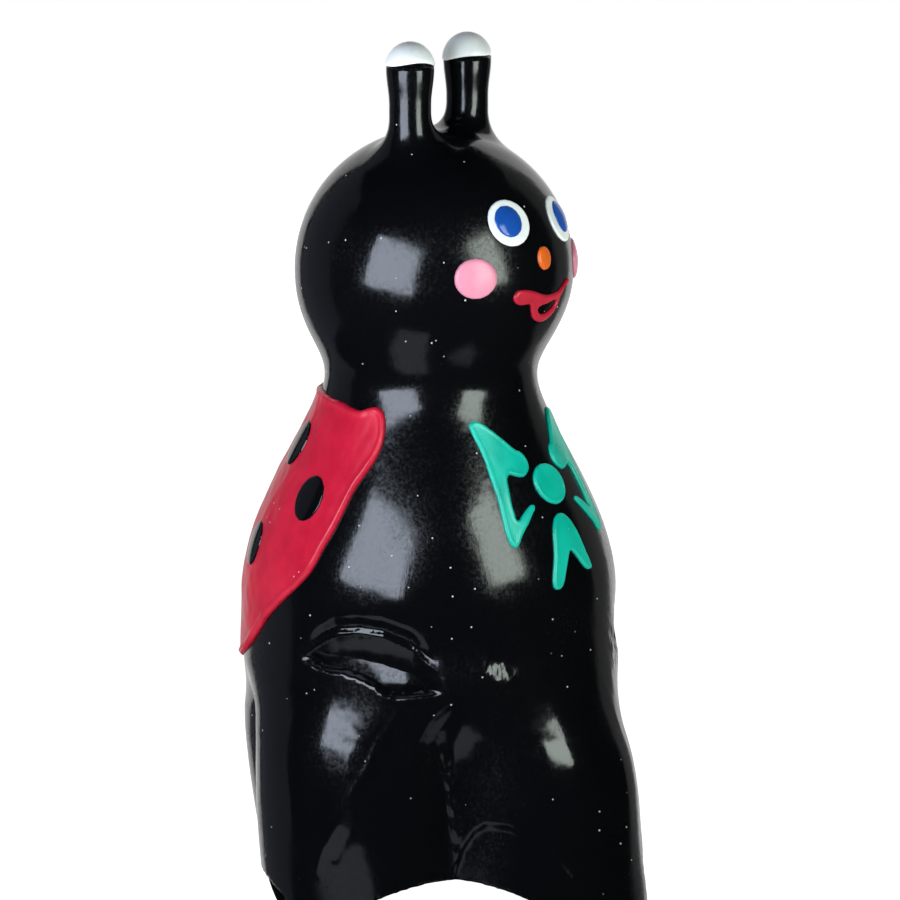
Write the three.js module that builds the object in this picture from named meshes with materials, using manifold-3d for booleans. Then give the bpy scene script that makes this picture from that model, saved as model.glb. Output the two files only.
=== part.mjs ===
// Ladybird figure: a hollow, dip-moulded rubber skin with hand-painted films of thick paint on it.
// Units are millimetres, +Z is up, and the figure looks along -Y, so its right side is at -X.
// The skin is a turned profile (radius against height) whose points are then warped: the feet
// step forward, the head leans forward, and four legs swell out of the skirt. Every paint film is
// a flat outline, thickened, cut fine and bent round the same warped profile.

import * as THREE from 'three';
import { mergeVertices } from 'three/addons/utils/BufferGeometryUtils.js';
import { TessellateModifier } from 'three/addons/modifiers/TessellateModifier.js';
import Module from 'manifold-3d';

const wasm = await Module();
wasm.setup();

// ---- Driving dimensions -------------------------------------------------------------------

// Skin profile
const headRadius = 17;
const headHeight = 80;            // height of the head's centre
const neckRadius = 12.7;
const neckHeight = 67;
const neckBlend = 1.4;            // softness of the join between neck and head
const bellyRadius = 22.7;
const bellyHeight = 40;
const shoulderSkew = 0.78;        // under 1 carries the belly's fullness up the shoulders
const skirtRadius = 23.7;
const skirtHeight = 14;
const rimTuck = 1.0;              // how far the skirt rounds in at the floor
const rimTuckHeight = 5;
const wall = 1.5;                 // rubber thickness

// Leans of the profile's centre line
const headForward = 0.5;
const footForward = 4.9;          // how far the skirt steps forward at the floor
const footForwardHeight = 25;
const footForwardCurve = 1.15;    // over 1 keeps the upper skirt upright

// Legs: four round columns that swell out of the skirt, with a valley between each two
const legRadius = 14;
const legStand = 2.15;            // how far a leg stands outside the skirt
const legReach = skirtRadius + legStand - legRadius;  // from the middle line to each leg's own axis
const legTop = 33;
const legFade = 12;               // height over which a leg swells to its full size
const legSplay = degrees(16);     // how far the side legs swing back toward the floor
const legBlend = 2.0;             // softness of the valleys

// Fold at the waist
const waistFoldDepth = 0.9;
const waistFoldHeight = 36.5;
const waistFoldHalfHeight = 3;
const waistFoldAngle = degrees(58);
const waistFoldHalfSpan = degrees(34);

// Arches between the four feet
const archAngles = [-130, -54, 54, 130].map(degrees);
const archHalfWidth = 10.2;
const archHeight = 7.8;
const archCrownRadius = 22.6;
const archCornerRadius = 1.2;
const cutBelow = 2;               // how far the arch and the hollow are cut below the floor
const cutBeyond = 4;              // how far the arch is cut past the feet

// Antennae
const antennaSpread = 5.7;        // from the middle plane to each axis
const antennaForward = 1.2;
const antennaTop = 108.2;
const antennaRadius = 2.6;
const antennaBulbRadius = 2.93;
const antennaDome = 3.2;          // height of the domed tip
const antennaBulbLength = 3.4;    // from the dome's foot down to the slim part
const antennaFlareRadius = 4.6;
const antennaFlareHeight = 5.5;
const flareBend = { out: 0.7, up: 1.65 };  // where the flare turns up: past the shaft, above its foot
const antennaRoot = 3;            // how deep the flare's foot is sunk into the head
const tipPaintLength = 2.6;

// Paint
const filmThickness = 0.5;
const filmGap = 0.3;              // clearance to the skin and between neighbouring films
const filmStep = 2.8;             // longest edge on a bent film
const wingStep = 4.6;             // the same on the broad wing cases

// Face, as angle from the middle plane and height
const eyes = {
  right: { angle: degrees(-16), height: 86.9 },
  left: { angle: degrees(22), height: 86.3 },
};
const eyeRadius = 3.0;
const irisRadius = 1.95;
const cheekAngles = { right: degrees(-35), left: degrees(39) };
const cheekHeight = 80.9;
const cheekHalfWidth = 2.75;
const cheekHalfHeight = 2.55;
const noseHeight = 82.5;
const noseHalfWidth = 1.25;
const noseHalfHeight = 1.45;
const mouthHeight = 77;

// Bow tie
const knotHeight = 55;
const knotHalfWidth = 2.7;
const knotHalfHeight = 2.32;

// Wing cases
const wingTop = 65.3;
const wingSeamHalfWidth = 0.55;   // half the strip left bare down the middle of the back
const spotHalfWidth = 2.35;
const spotHalfHeight = 2.7;
const spots = {
  upper: { angle: degrees(128), height: 58.5 },
  middle: { angle: degrees(102), height: 53 },
  lower: { angle: degrees(129), height: 46.5 },
};

// Facets
const skinSides = 56;
const cavitySides = 42;
const antennaSides = 14;
const antennaSideSteps = 8;
const domeSteps = 4;
const bodyStep = 3.1;
const headArcSteps = 8;
const cavityStep = 4.2;
const cavityArcSteps = 5;
const outlineSegments = 8;
const archSegments = 6;
const seamSteps = 10;
const cutRounds = 14;             // rounds of halving that cut a film fine
const weld = 1e-4;                // vertices closer than this are one

// ---- Colours ------------------------------------------------------------------------------

const rubberBlack = { color: 0x0c0e12, roughness: 0.28, metalness: 0 };
const paints = {
  white: { color: 0xecf3f3, roughness: 0.35, metalness: 0 },
  blue: { color: 0x1f54a9, roughness: 0.3, metalness: 0 },
  pink: { color: 0xf0b4c3, roughness: 0.35, metalness: 0 },
  orange: { color: 0xe16f33, roughness: 0.35, metalness: 0 },
  lipRed: { color: 0xb22235, roughness: 0.35, metalness: 0 },
  wingRed: { color: 0xd2213f, roughness: 0.35, metalness: 0 },
  black: { color: 0x0a0b0e, roughness: 0.25, metalness: 0 },
  green: { color: 0x03bda9, roughness: 0.35, metalness: 0 },
};

// ---- The skin's surface -------------------------------------------------------------------

function degrees(value) {
  return THREE.MathUtils.degToRad(value);
}

function ease(t) {
  return THREE.MathUtils.smoothstep(t, 0, 1);
}

function softMax(a, b, softness) {
  const h = Math.max(softness - Math.abs(a - b), 0) / softness;
  return Math.max(a, b) + (h * h * softness) / 4;
}

// Radius of the turned profile at a height.
function profileRadius(z) {
  const rise = THREE.MathUtils.clamp((neckHeight - z) / (neckHeight - bellyHeight), 0, 1);
  let body = neckRadius + (bellyRadius - neckRadius) * ease(rise ** shoulderSkew);
  const flare = (bellyHeight - z) / (bellyHeight - skirtHeight);
  body += (skirtRadius - bellyRadius) * ease(flare);
  body -= rimTuck * Math.max(0, 1 - z / rimTuckHeight) ** 2;
  const aboveCentre = z - headHeight;
  const head = Math.sqrt(Math.max(headRadius ** 2 - aboveCentre ** 2, 0));
  return aboveCentre > 0 ? head : softMax(body, head, neckBlend);
}

// A point of the profile moved outward along its normal, as (radius, height).
function profilePoint(z, outward) {
  if (z >= headHeight) {
    const tilt = Math.asin(Math.min((z - headHeight) / headRadius, 1));
    const reach = headRadius + outward;
    return new THREE.Vector2(reach * Math.cos(tilt), headHeight + reach * Math.sin(tilt));
  }
  const step = 0.05;
  const slope = (profileRadius(z + step) - profileRadius(z - step)) / (2 * step);
  const normal = new THREE.Vector2(1, -slope).normalize();
  return new THREE.Vector2(profileRadius(z), z).addScaledVector(normal, outward);
}

// How far forward the centre line runs at a height.
function centreForward(z) {
  const low = Math.max(0, 1 - z / footForwardHeight);
  const high = ease((z - neckHeight) / (headHeight - neckHeight));
  return footForward * low ** footForwardCurve + headForward * high;
}

function bump(distance, width) {
  return Math.exp(-((distance / width) ** 2));
}

// How far the legs stand out from the skirt, at an angle from the front and a height.
function legSwell(angle, z) {
  const sideLeg = Math.PI / 2 + legSplay * ease((legTop - z) / legTop);
  let reach = 0;
  for (const axis of [0, sideLeg, -sideLeg, Math.PI]) {
    const across = legReach * Math.sin(angle - axis);
    const along = legReach * Math.cos(angle - axis);
    reach = softMax(reach, along + Math.sqrt(Math.max(legRadius ** 2 - across ** 2, 0)), legBlend);
  }
  return (reach - skirtRadius) * ease((legTop - z) / legFade);
}

// How far the waist fold presses the skin in.
function waistFold(angle, z) {
  const across = (Math.abs(angle) - waistFoldAngle) / waistFoldHalfSpan;
  const window = Math.max(0, 1 - across ** 2);
  return waistFoldDepth * window * bump(z - waistFoldHeight, waistFoldHalfHeight);
}

// A turned point (angle from the front, radius, height) in its warped place.
function warp(angle, radius, z) {
  const onAxis = radius < 1e-6;
  const r = onAxis ? 0 : radius + legSwell(angle, z) - waistFold(angle, z);
  return new THREE.Vector3(r * Math.sin(angle), -r * Math.cos(angle) - centreForward(z), z);
}

// ---- Solids -------------------------------------------------------------------------------

function onlyPositions(geometry) {
  const bare = geometry.clone();
  bare.deleteAttribute('normal');
  bare.deleteAttribute('uv');
  return mergeVertices(bare, weld);
}

function toSolid(geometry) {
  const merged = onlyPositions(geometry);
  return new wasm.Manifold(new wasm.Mesh({
    numProp: 3,
    vertProperties: new Float32Array(merged.attributes.position.array),
    triVerts: new Uint32Array(merged.index.array),
  }));
}

function fromSolid(solid) {
  const mesh = solid.getMesh();
  const geometry = new THREE.BufferGeometry();
  geometry.setAttribute('position', new THREE.BufferAttribute(mesh.vertProperties, 3));
  geometry.setIndex(new THREE.BufferAttribute(mesh.triVerts, 1));
  return geometry;
}

// Turns a profile round the axis and warps every vertex.
function turnAndWarp(profile, sides) {
  const geometry = new THREE.LatheGeometry(profile, sides);
  const position = geometry.attributes.position;
  for (let i = 0; i < position.count; i += 1) {
    const angle = Math.atan2(position.getX(i), position.getZ(i));
    const radius = Math.hypot(position.getX(i), position.getZ(i));
    const place = warp(angle, radius, position.getY(i));
    position.setXYZ(i, place.x, place.y, place.z);
  }
  return geometry;
}

// Heights up the profile: even steps up the body, then even angles over the head.
function profileHeights(step, arcSteps) {
  const bodySteps = Math.ceil(headHeight / step);
  const heights = [];
  for (let i = 0; i < bodySteps; i += 1) {
    heights.push((headHeight * i) / bodySteps);
  }
  for (let i = 0; i <= arcSteps; i += 1) {
    heights.push(headHeight + headRadius * Math.sin((Math.PI / 2) * (i / arcSteps)));
  }
  return heights;
}

// The closed profile from the axis at the bottom, round the outside, to the axis at the top.
function closedProfile(outward, step, arcSteps, bottom) {
  const points = profileHeights(step, arcSteps).map((z) => profilePoint(z, outward));
  points[0].y = 0;
  points[points.length - 1].x = 0;
  const foot = points[0].x;
  if (bottom < 0) {
    points.unshift(new THREE.Vector2(foot, bottom));
  }
  points.unshift(new THREE.Vector2(0, bottom));
  return points;
}

// The head's surface beside the flare, the antenna's foot sunk below it, and its length.
const flareFoot = headHeight + Math.sqrt(headRadius ** 2 - (antennaSpread + antennaFlareRadius) ** 2);
const antennaBottom = flareFoot - antennaRoot;
const antennaLength = antennaTop - antennaBottom;
const tipInset = filmGap + filmThickness;

// Antenna with a flared root, a slim shaft and a bulb, standing on z = 0. Its domed end is slimmer
// by the white paint and its clearance, so the paint comes out flush with the bulb.
function antennaProfile() {
  const domeFoot = antennaLength - antennaDome;
  const side = new THREE.SplineCurve([
    new THREE.Vector2(antennaFlareRadius, antennaRoot),
    new THREE.Vector2(antennaRadius + flareBend.out, antennaRoot + flareBend.up),
    new THREE.Vector2(antennaRadius, antennaRoot + antennaFlareHeight),
    new THREE.Vector2(antennaRadius, domeFoot - antennaBulbLength),
    new THREE.Vector2(antennaBulbRadius, domeFoot),
  ]).getPoints(antennaSideSteps);
  return [
    new THREE.Vector2(0, 0),
    new THREE.Vector2(antennaFlareRadius, 0),
    ...side,
    ...domeArc(tipInset, domeSteps),
  ];
}

// Quarter-oval dome at the antenna's end, moved inward by a distance.
function domeArc(inset, steps) {
  const points = [];
  for (let i = 0; i <= steps; i += 1) {
    const turn = (Math.PI / 2) * (i / steps);
    const across = i === steps ? 0 : (antennaBulbRadius - inset) * Math.cos(turn);
    const height = antennaLength - antennaDome + (antennaDome - inset) * Math.sin(turn);
    points.push(new THREE.Vector2(across, height));
  }
  return points;
}

// A lathe whose axis is turned from three.js's +Y to +Z.
function turned(profile, sides) {
  return new THREE.LatheGeometry(profile, sides).rotateX(Math.PI / 2);
}

function antennaPlace(side) {
  return new THREE.Vector3(side * antennaSpread, -antennaForward, antennaBottom);
}

// The opening between two feet: straight sides, small corners and a shallow arc on top.
function archCutter(angle) {
  const crownDrop = archCrownRadius - Math.sqrt(archCrownRadius ** 2 - archHalfWidth ** 2);
  const springing = archHeight - crownDrop;
  const arcAngle = Math.asin((archHalfWidth - archCornerRadius) / archCrownRadius);
  const outline = new THREE.Shape();
  outline.moveTo(-archHalfWidth, -cutBelow);
  outline.lineTo(archHalfWidth, -cutBelow);
  outline.lineTo(archHalfWidth, springing - archCornerRadius);
  outline.quadraticCurveTo(
    archHalfWidth,
    springing,
    archCrownRadius * Math.sin(arcAngle),
    archHeight - archCrownRadius * (1 - Math.cos(arcAngle)),
  );
  outline.absarc(
    0,
    archHeight - archCrownRadius,
    archCrownRadius,
    Math.PI / 2 - arcAngle,
    Math.PI / 2 + arcAngle,
  );
  outline.quadraticCurveTo(-archHalfWidth, springing, -archHalfWidth, springing - archCornerRadius);
  const reach = legReach + legRadius + footForward + cutBeyond;
  const cutter = new THREE.ExtrudeGeometry(outline, {
    depth: reach,
    bevelEnabled: false,
    curveSegments: archSegments,
  });
  cutter.rotateX(Math.PI / 2);
  cutter.rotateZ(angle);
  cutter.translate(0, -centreForward(archHeight / 2), 0);
  return cutter;
}

function bodySkin() {
  let solid = toSolid(turnAndWarp(closedProfile(0, bodyStep, headArcSteps, 0), skinSides));
  for (const side of [-1, 1]) {
    const place = antennaPlace(side);
    solid = solid.add(toSolid(turned(antennaProfile(), antennaSides).translate(place.x, place.y, place.z)));
  }
  const cavity = closedProfile(-wall, cavityStep, cavityArcSteps, -cutBelow);
  solid = solid.subtract(toSolid(turnAndWarp(cavity, cavitySides)));
  for (const angle of archAngles) {
    solid = solid.subtract(toSolid(archCutter(angle)));
  }
  return fromSolid(solid);
}

// White paint dipped over an antenna's end, as a dome with a level lower edge.
function antennaTip(side) {
  const lowest = antennaLength - tipPaintLength;
  const keep = (point) => point.y > lowest;
  const inner = domeArc(filmThickness, 2 * domeSteps).filter(keep);
  const outer = domeArc(0, 2 * domeSteps).filter(keep);
  const place = antennaPlace(side);
  const dome = onlyPositions(turned([...inner.reverse(), ...outer], antennaSides));
  return dome.translate(place.x, place.y, place.z);
}

// Thickens a flat outline, cuts it fine and bends it onto the skin. toAngle turns the outline's
// x and height into an angle from the front.
function film(outline, toAngle, step = filmStep) {
  const flat = new THREE.ExtrudeGeometry(outline, {
    depth: filmThickness,
    bevelEnabled: false,
    curveSegments: outlineSegments,
  });
  flat.deleteAttribute('normal');
  flat.deleteAttribute('uv');
  const fine = new TessellateModifier(step, cutRounds).modify(flat);
  const position = fine.attributes.position;
  for (let i = 0; i < position.count; i += 1) {
    const height = position.getY(i);
    const point = profilePoint(height, filmGap + position.getZ(i));
    const place = warp(toAngle(position.getX(i), height), point.x, point.y);
    position.setXYZ(i, place.x, place.y, place.z);
  }
  return mergeVertices(fine, weld);
}

// Bends x measured as arc length round the skin from a given angle.
function fromAngle(angle) {
  return (x, height) => angle + x / profileRadius(height);
}

function mirrored(points) {
  return points.map((point) => point.clone().setX(-point.x)).reverse();
}

function outlineOf(pairs, lift = 0) {
  return pairs.map(([x, y]) => new THREE.Vector2(x, y + lift));
}

function oval(halfWidth, halfHeight, height) {
  const shape = new THREE.Shape();
  shape.absellipse(0, height, halfWidth, halfHeight, 0, Math.PI * 2);
  return shape;
}

// On the upper head the skin leans back, so a round mark is lower than it is wide in height.
function leanOnHead(height) {
  return Math.sqrt(1 - ((height - headHeight) / headRadius) ** 2);
}

function eyeWhite({ angle, height }) {
  const lean = leanOnHead(height);
  const ring = oval(eyeRadius, eyeRadius * lean, height);
  const hole = irisRadius + filmGap;
  const opening = new THREE.Path();
  opening.absellipse(0, height, hole, hole * lean, 0, Math.PI * 2);
  ring.holes.push(opening);
  return film(ring, fromAngle(angle));
}

function iris({ angle, height }) {
  return film(oval(irisRadius, irisRadius * leanOnHead(height), height), fromAngle(angle));
}

function cheek(angle) {
  return film(oval(cheekHalfWidth, cheekHalfHeight, cheekHeight), fromAngle(angle));
}

function nose() {
  return film(oval(noseHalfWidth, noseHalfHeight, noseHeight), fromAngle(0));
}

// Upper lip as one long stroke with a turned-up end, and a lower lip looped under it.
function lips() {
  const stroke = new THREE.Shape(outlineOf([
    [-4.7, 2.1], [-5.3, 1.4], [-4.9, 0.6], [-3.9, 0.2], [-2.5, 0.1], [-2.2, -0.8], [-1.6, -1.6],
    [-0.3, -2.2], [0.9, -2.2], [2.2, -1.6], [3.1, -0.6], [3.4, 0.4], [4.1, 1.1], [5.8, 2.3],
    [4.0, 1.8], [2.8, 1.2], [0.7, 1.1], [-0.8, 1.4], [-2.1, 1.8], [-3.6, 2.1],
  ], mouthHeight));
  stroke.holes.push(new THREE.Path(outlineOf([
    [-1.0, -0.5], [0.4, -0.1], [2.3, 0.2], [2.5, -0.2], [1.9, -0.8], [0.9, -1.2], [-0.2, -1.2],
  ], mouthHeight)));
  return film(stroke, fromAngle(0));
}

// A bow loop: a broad upper blade with a round end, a thin strap down and a hooked end. Heights
// are from the knot's centre.
function bowLoop(side) {
  const points = outlineOf([
    [-7.5, 8.0], [-8.5, 7.6], [-8.5, 6.2], [-8.4, 3.5], [-8.6, 1.3], [-8.8, -0.9], [-9.2, -3.3],
    [-9.4, -5.1], [-9.2, -6.4], [-8.6, -6.7], [-7.4, -5.6], [-6.3, -4.7], [-4.7, -3.2], [-4.0, -2.3],
    [-4.3, -1.9], [-5.1, -2.1], [-7.3, -3.5], [-7.1, -1.8], [-6.7, -0.2], [-6.3, 1.3], [-5.9, 1.6],
    [-5.1, 1.4], [-4.1, 1.2], [-3.3, 1.5], [-2.6, 2.2], [-2.6, 3.3], [-3.0, 4.0], [-3.6, 4.4],
    [-4.6, 5.7], [-5.8, 7.0], [-6.8, 7.8],
  ], knotHeight);
  return film(new THREE.Shape(side < 0 ? points : mirrored(points)), fromAngle(0));
}

function bowKnot() {
  return film(oval(knotHalfWidth, knotHalfHeight, knotHeight), fromAngle(0));
}

// Two tails that part below the knot, the left one longer.
function bowTails() {
  const shape = new THREE.Shape(outlineOf([
    [0.0, -3.4], [-1.5, -3.9], [-2.6, -5.7], [-3.4, -8.0], [-4.4, -10.9], [-4.2, -12.0], [-3.4, -12.1],
    [-2.7, -11.6], [-2.0, -10.4], [-0.9, -8.8], [-0.2, -8.1], [0.7, -8.8], [1.7, -10.0], [2.6, -10.5],
    [3.3, -10.3], [3.3, -9.7], [2.7, -8.4], [2.2, -6.7], [1.6, -5.1], [1.0, -4.1],
  ], knotHeight));
  return film(shape, fromAngle(0));
}

// A wing case's edge as (degrees from the front, height below the wing's top).
const wingEdge = [
  [176, 0.2], [150, 0], [130, 0.1], [117, 0.4], [104, 0.7], [96, 1.1], [91, 1.1], [86, 0.8], [81, 0.7],
  [77, 1.5], [75, 3.3], [75, 5.2], [78, 7.4], [82, 9.6], [85, 12.8], [87, 15.0], [91, 18.2], [94, 20.6],
  [98, 22.2], [105, 24.4], [113, 26.8], [120, 29.2], [128, 31.3], [140, 33.0], [155, 34.2], [168, 34.3],
  [176, 33.2],
];

// On a wing x is angle times the belly's radius, so that the seam down the back runs straight.
function wingAngle(side) {
  return (x) => (side * x) / bellyRadius;
}

function wingShape() {
  const seam = (z) => Math.PI - (wingSeamHalfWidth + filmGap) / profileRadius(z);
  const points = wingEdge.map(([angle, drop]) => {
    const z = wingTop - drop;
    return new THREE.Vector2(Math.min(degrees(angle), seam(z)) * bellyRadius, z);
  });
  const last = wingEdge[wingEdge.length - 1][1];
  for (let i = 1; i < seamSteps; i += 1) {
    const z = wingTop - last * (1 - i / seamSteps);
    points.push(new THREE.Vector2(seam(z) * bellyRadius, z));
  }
  return new THREE.Shape(points);
}

// The spots are drawn in the wing's own flat frame, wider where the skin is slimmer than the belly.
function spotOutline(spot, grow, Kind) {
  const stretch = bellyRadius / profileRadius(spot.height);
  const path = new Kind();
  path.absellipse(
    spot.angle * bellyRadius,
    spot.height,
    (spotHalfWidth + grow) * stretch,
    spotHalfHeight + grow,
    0,
    Math.PI * 2,
  );
  return path;
}

// Bending a film to the figure's right turns it inside out, so its faces are turned back.
function facingOut(geometry, side) {
  if (side > 0) {
    return geometry;
  }
  const index = geometry.index;
  for (let i = 0; i < index.count; i += 3) {
    const second = index.getX(i + 1);
    index.setX(i + 1, index.getX(i + 2));
    index.setX(i + 2, second);
  }
  return geometry;
}

function wing(side) {
  const shape = wingShape();
  for (const spot of Object.values(spots)) {
    shape.holes.push(spotOutline(spot, filmGap, THREE.Path));
  }
  return facingOut(film(shape, wingAngle(side), wingStep), side);
}

function wingSpot(spot, side) {
  return facingOut(film(spotOutline(spot, 0, THREE.Shape), wingAngle(side)), side);
}

// ---- Assembly -----------------------------------------------------------------------------

const figure = new THREE.Group();

function addPiece(name, geometry, finish) {
  const mesh = new THREE.Mesh(geometry, new THREE.MeshStandardMaterial(finish));
  mesh.name = name;
  figure.add(mesh);
}

addPiece('body_skin', bodySkin(), rubberBlack);
for (const [hand, side] of [['right', -1], ['left', 1]]) {
  addPiece(`antenna_tip_${hand}`, antennaTip(side), paints.white);
  addPiece(`eye_white_${hand}`, eyeWhite(eyes[hand]), paints.white);
  addPiece(`iris_${hand}`, iris(eyes[hand]), paints.blue);
  addPiece(`cheek_${hand}`, cheek(cheekAngles[hand]), paints.pink);
  addPiece(`bow_loop_${hand}`, bowLoop(side), paints.green);
  addPiece(`wing_${hand}`, wing(side), paints.wingRed);
  for (const [place, spot] of Object.entries(spots)) {
    addPiece(`wing_spot_${place}_${hand}`, wingSpot(spot, side), paints.black);
  }
}
addPiece('nose', nose(), paints.orange);
addPiece('lips', lips(), paints.lipRed);
addPiece('bow_knot', bowKnot(), paints.green);
addPiece('bow_tails', bowTails(), paints.green);

// The origin goes to the middle of the bottom of the whole figure's box.
const box = new THREE.Box3().setFromObject(figure);
const middle = box.getCenter(new THREE.Vector3());
figure.position.set(-middle.x, -middle.y, -box.min.z);

export default figure;
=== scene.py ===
"""Ladybird figure: a hollow dip-moulded rubber skin with thick hand-brushed enamel marks."""

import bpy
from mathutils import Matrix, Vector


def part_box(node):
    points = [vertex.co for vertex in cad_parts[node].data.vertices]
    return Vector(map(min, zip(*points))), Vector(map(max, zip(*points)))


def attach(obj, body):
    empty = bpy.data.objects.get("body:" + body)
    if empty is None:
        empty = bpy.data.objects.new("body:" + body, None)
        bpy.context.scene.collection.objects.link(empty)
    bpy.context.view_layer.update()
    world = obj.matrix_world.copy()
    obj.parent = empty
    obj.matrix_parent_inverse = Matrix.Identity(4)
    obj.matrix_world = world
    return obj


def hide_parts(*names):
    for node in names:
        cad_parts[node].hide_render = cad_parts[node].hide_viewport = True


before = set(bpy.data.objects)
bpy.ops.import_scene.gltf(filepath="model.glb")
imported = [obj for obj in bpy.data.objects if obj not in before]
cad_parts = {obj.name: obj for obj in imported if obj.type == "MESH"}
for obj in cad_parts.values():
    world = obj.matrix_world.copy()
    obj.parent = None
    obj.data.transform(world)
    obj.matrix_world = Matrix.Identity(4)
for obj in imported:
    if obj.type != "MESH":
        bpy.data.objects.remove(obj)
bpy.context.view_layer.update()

import math

import bmesh
import bpy
import numpy as np
from mathutils import Quaternion, Vector

bl_info = {
    "name": "Ladybird Figure",
    "version": (1, 0, 0),
    "blender": (4, 5, 0),
    "location": "View3D > Sidebar > Ladybird",
    "description": "Makes a hollow rubber ladybird figure with thick painted marks, on a pale studio floor",
    "category": "Add Mesh",
}

# ---- Places read from the frame -------------------------------

MM = 0.001
BODY = "root"


def node_middle(node):
    """The middle of a CAD node's box, in millimetres."""
    low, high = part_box(node)
    return [(a + b) / 2 / MM for a, b in zip(low, high)]


ANTENNA_SPREAD = abs(node_middle("antenna_tip_left")[0])
ANTENNA_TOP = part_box("antenna_tip_left")[1][2] / MM
ANTENNA_FORWARD = 1.2  # antenna axes ahead of the turning axis
AXIS_Y = node_middle("antenna_tip_left")[1] + ANTENNA_FORWARD
KNOT_HEIGHT = 55.0

# ---- Sizes and colours a user would change --------------------


def length(name, description, millimetres):
    """A length property, shown in the scene's units."""
    return bpy.props.FloatProperty(
        name=name, description=description, default=millimetres * MM,
        min=0.0, subtype="DISTANCE", unit="LENGTH")


def colour(name, description, hex_code):
    """A colour property from an sRGB hex code."""
    return bpy.props.FloatVectorProperty(
        name=name, description=description, default=linear(hex_code),
        size=3, min=0.0, max=1.0, subtype="COLOR")


def linear(hex_code):
    """Turns an sRGB hex colour such as 'd3213e' into linear red, green and blue."""
    values = [int(hex_code[i:i + 2], 16) / 255 for i in (0, 2, 4)]
    return tuple(v / 12.92 if v <= 0.04045 else ((v + 0.055) / 1.055) ** 2.4 for v in values)


class LadybirdSkin(bpy.types.PropertyGroup):
    """Sizes of the rubber skin."""
    head_radius: length("Head radius", "Radius of the round head", 17.0)
    head_height: length("Head height", "Height of the head's centre", 80.0)
    neck_radius: length("Neck radius", "Radius of the neck", 12.7)
    neck_height: length("Neck height", "Height of the narrowest part of the neck", 67.0)
    neck_softness: length("Neck softness", "How far the neck's curve reaches", 1.5)
    belly_radius: length("Belly radius", "Radius at the belly", 22.7)
    belly_height: length("Belly height", "Height where the belly is widest", 40.0)
    skirt_radius: length("Skirt radius", "Radius low on the skirt", 23.7)
    skirt_height: length("Skirt height", "Height where the skirt is widest", 14.0)
    antenna_radius: length("Antenna radius", "Radius of the slim part of an antenna", 2.56)
    bulb_radius: length("Bulb radius", "Radius of the thick end of an antenna", 2.93)
    root_fillet: length("Antenna fillet", "Softness of the join between antenna and head", 3.4)
    voxel: length("Skin mesh size", "Spacing of the skin's mesh", 0.34)


class LadybirdPaint(bpy.types.PropertyGroup):
    """Thickness and colours of the paint."""
    film: length("Paint thickness", "Thickness of one brushed film of enamel", 0.3)
    wing_film: length("Wing paint thickness", "Thickness of the two coats on the wing cases", 0.48)
    white: colour("White", "Eye rings and antenna tips", "f6faf8")
    blue: colour("Blue", "Irises", "1b52ad")
    pink: colour("Pink", "Cheeks", "dd8ba0")
    orange: colour("Orange", "Nose", "e9691f")
    lip_red: colour("Lip red", "Mouth", "bb1c33")
    green: colour("Green", "Bow tie", "04bba2")
    wing_red: colour("Wing red", "Wing cases", "cc1836")
    black: colour("Spot black", "Spots on the wing cases", "08090c")


# ---- The skin's surface ---------------------------------------

NECK_BLEND = 1.4
SHOULDER_SKEW = 0.78
RIM_TUCK = 1.0
RIM_TUCK_HEIGHT = 5.0
HEAD_FORWARD = 0.5
FOOT_FORWARD = 4.9
FOOT_FORWARD_HEIGHT = 25.0
FOOT_FORWARD_CURVE = 1.15  # over 1 keeps the upper skirt upright
LEG_RADIUS = 14.0
LEG_REACH = 11.85  # from the middle line to each leg's own axis
LEG_TOP = 33.0
LEG_FADE = 12.0
LEG_SPLAY = math.radians(16)
LEG_BLEND = 2.0
WAIST_FOLD_DEPTH = 0.9
WAIST_FOLD_HEIGHT = 36.5
WAIST_FOLD_HALF_HEIGHT = 3.0
WAIST_FOLD_ANGLE = 58.0
WAIST_FOLD_HALF_SPAN = 34.0
ANTENNA_DOME = 3.2
ANTENNA_BULB_LENGTH = 4.4
TIP_PAINT = 0.16  # thickness of the white dip
TIP_SUNK = -0.06  # height of its underside, just below the rubber's surface
TIP_ROLL = 0.14  # share of its height over which its edge rolls
TIP_EDGE = (2.75, 0.45, 0.25)  # how far down it comes, its slant and its droop
SKIN_DEGREE = 0.4  # millimetres of skirt in one degree
SKIN_WALL = 1.5  # rubber thickness of the CAD solid
TABLE_STEP = 0.1  # spacing of the softened profile's table
TABLE_REACH = 50  # steps on each side that the softening takes in
SETTLE_DEPTH = 0.8  # how deep points still belong to the outside
SETTLE_STEPS = 6
CATCH = 0.2  # points this close to the formula's surface move onto it, and none from twice as far


def ease(t):
    """A smooth step from 0 at 0 to 1 at 1."""
    t = np.clip(t, 0, 1)
    return t * t * (3 - 2 * t)


def bump(distance, width):
    """A bell of height 1."""
    return np.exp(-((distance / width) ** 2))


def soft_max(a, b, softness):
    """The larger of two values, rounded where they meet."""
    h = np.maximum(softness - np.abs(a - b), 0) / softness
    return np.maximum(a, b) + h * h * softness / 4


def polyline_distance(u, v, points):
    """Distance from each (u, v) to a line through points."""
    best = np.full(np.shape(u), np.inf)
    for (au, av), (bu, bv) in zip(points, points[1:]):
        du, dv = bu - au, bv - av
        t = np.clip(((u - au) * du + (v - av) * dv) / (du * du + dv * dv), 0, 1)
        best = np.minimum(best, np.hypot(u - au - t * du, v - av - t * dv))
    return best


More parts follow.
